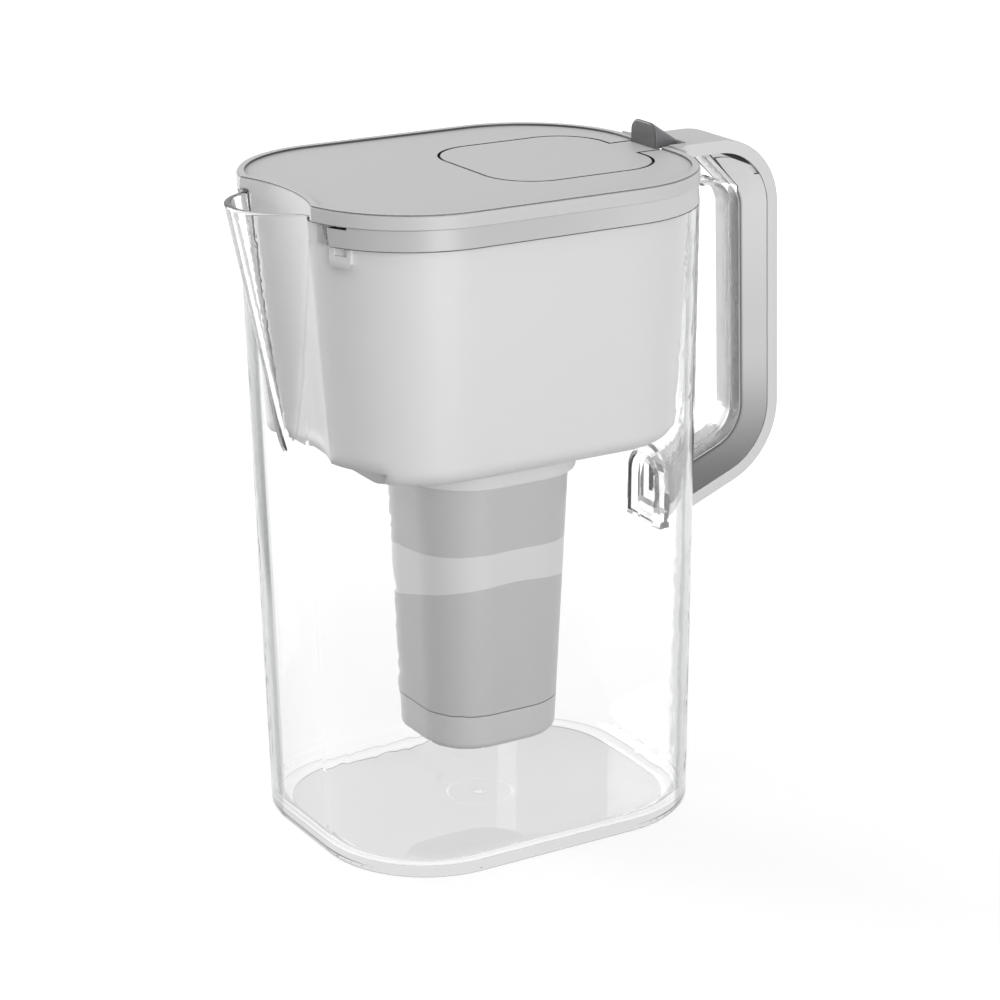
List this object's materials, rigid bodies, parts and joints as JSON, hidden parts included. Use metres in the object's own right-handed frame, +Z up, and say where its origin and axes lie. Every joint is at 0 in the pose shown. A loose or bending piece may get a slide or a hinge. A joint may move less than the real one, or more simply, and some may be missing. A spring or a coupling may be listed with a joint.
{
  "type": "water filter pitcher",
  "caption": "Clear upright water pitcher with a pour spout and a loop handle, holding a lift-out reservoir, a filter cartridge and a lid with a lever-worked fill door.",
  "frame": {"origin": "centre of the foot on the plane that the pitcher stands on", "axes": "+Z up, -X towards the pour spout, +X towards the handle, XZ is the plane of symmetry"},
  "size_m": [0.2446, 0.1354, 0.2769],
  "materials": {
    "clear_plastic": "clear, glossy, injection moulded",
    "white_plastic": "white, satin",
    "underside_plastic": "dark grey, matt",
    "silver_plastic": "silver grey, fine grained",
    "grip_rubber": "grey, matt, fine grained",
    "lever_plastic": "grey, satin",
    "pin_plastic": "natural white acetal",
    "cartridge_plastic": "light grey, satin",
    "cap_plastic": "white, satin",
    "seal_rubber": "translucent white, soft",
    "screen_mesh": "white woven mesh, moulded in a rim",
    "felt": "white, pressed",
    "resin": "amber beads",
    "carbon": "black granules"
  },
  "bodies": {
    "pitcher": {"pitcher_body": "clear_plastic", "handle_cover": "silver_plastic", "handle_grip": "grip_rubber"},
    "reservoir_unit": {"reservoir": "white_plastic"},
    "lid": {"lid_panel": "silver_plastic", "lid_frame": "underside_plastic", "door_hinge_pin": "pin_plastic"},
    "door": {"fill_door": "silver_plastic", "door_plate": "underside_plastic", "thumb_lever": "lever_plastic"},
    "filter": {"filter_housing": "cartridge_plastic", "filter_seal": "seal_rubber", "filter_bottom_cap": "cartridge_plastic", "filter_top_cap": "cap_plastic", "outlet_screen": "screen_mesh", "outlet_felt": "felt", "resin_bed": "resin", "divider_felt": "felt", "carbon_bed": "carbon", "inlet_felt": "felt", "inlet_screen": "screen_mesh"}
  },
  "joints": [
    {"name": "reservoir_lift", "type": "slide", "parent": "pitcher", "child": "reservoir_unit", "axis": [0, 0, 1], "range_m": [0, 0.24]},
    {"name": "lid_lift", "type": "slide", "parent": "reservoir_unit", "child": "lid", "axis": [0, 0, 1], "range_m": [0, 0.06]},
    {"name": "door_hinge", "type": "hinge", "parent": "lid", "child": "door", "pos_m": [0.0764, 0, 0.2636], "axis": [0, 1, 0], "range_deg": [0, 45]},
    {"name": "filter_lift", "type": "slide", "parent": "reservoir_unit", "child": "filter", "axis": [0, 0, 1], "range_m": [0, 0.07]}
  ]
}
